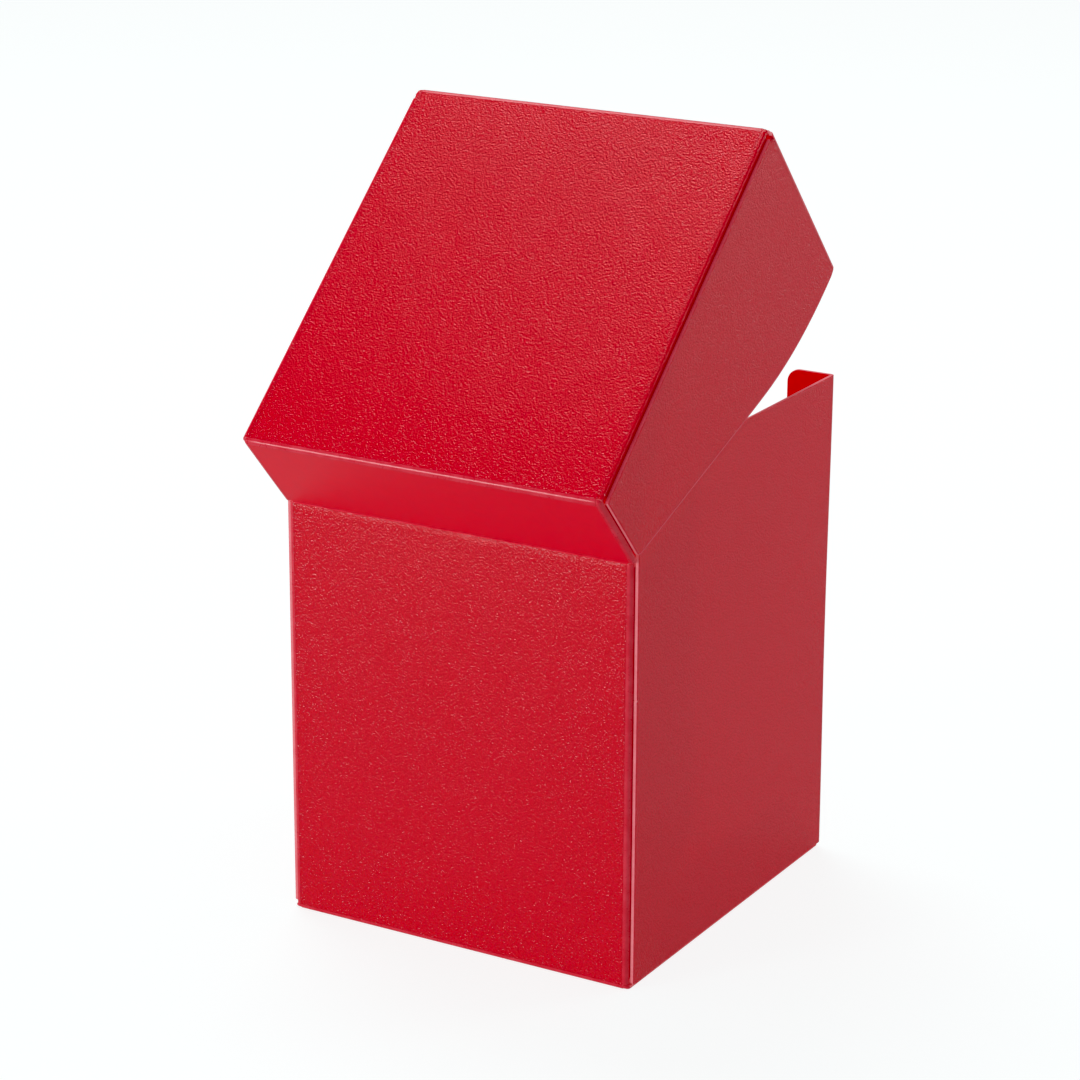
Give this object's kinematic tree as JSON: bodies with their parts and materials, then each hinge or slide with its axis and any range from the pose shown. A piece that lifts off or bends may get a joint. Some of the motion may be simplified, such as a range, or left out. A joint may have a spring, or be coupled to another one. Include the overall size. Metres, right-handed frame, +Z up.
{
  "type": "card deck box",
  "caption": "Deck box for sleeved playing cards, folded from embossed plastic sheet, with a notched front rim and a deep flip-top lid on a living hinge.",
  "frame": {"origin": "centre of the base, on the surface that the box stands on", "axes": "+Z up; -Y towards the notched front that a user faces; +Y towards the back, where the lid is hinged; +X to the right as seen from the front"},
  "size_m": [0.0716, 0.0867, 0.1425],
  "materials": {
    "embossed_sheet": "red polypropylene sheet with a fine embossed grain outside and a smooth inside",
    "inner_flap": "the same sheet, lapped inside the sides",
    "crease": "pressed crease, smoother and slightly stress-paled",
    "hinge_web": "thin flexible web of the living hinge"
  },
  "bodies": {
    "box": {"front_panel": "embossed_sheet", "bottom_panel": "embossed_sheet", "back_panel": "embossed_sheet", "left_side_panel": "embossed_sheet", "right_side_panel": "embossed_sheet", "bottom_left_flap": "inner_flap", "bottom_right_flap": "inner_flap", "back_left_flap": "inner_flap", "back_right_flap": "inner_flap", "front_bottom_crease": "crease", "back_bottom_crease": "crease", "front_left_crease": "crease", "front_right_crease": "crease", "bottom_left_crease": "crease", "bottom_right_crease": "crease", "back_left_crease": "crease", "back_right_crease": "crease", "hinge_crease": "hinge_web"},
    "lid": {"lid_back_strip": "embossed_sheet", "lid_top_panel": "embossed_sheet", "lid_front_panel": "embossed_sheet", "lid_left_side_panel": "embossed_sheet", "lid_right_side_panel": "embossed_sheet", "strip_left_flap": "inner_flap", "strip_right_flap": "inner_flap", "lid_top_left_flap": "inner_flap", "lid_top_right_flap": "inner_flap", "lid_back_crease": "crease", "lid_front_crease": "crease", "lid_front_left_crease": "crease", "lid_front_right_crease": "crease", "strip_left_crease": "crease", "strip_right_crease": "crease", "lid_top_left_crease": "crease", "lid_top_right_crease": "crease"}
  },
  "joints": [
    {"name": "lid_hinge", "type": "hinge", "parent": "box", "child": "lid", "pos_m": [0, 0.03715, 0.0773], "axis": [-1, 0, 0], "range_deg": [-42, 123]}
  ]
}
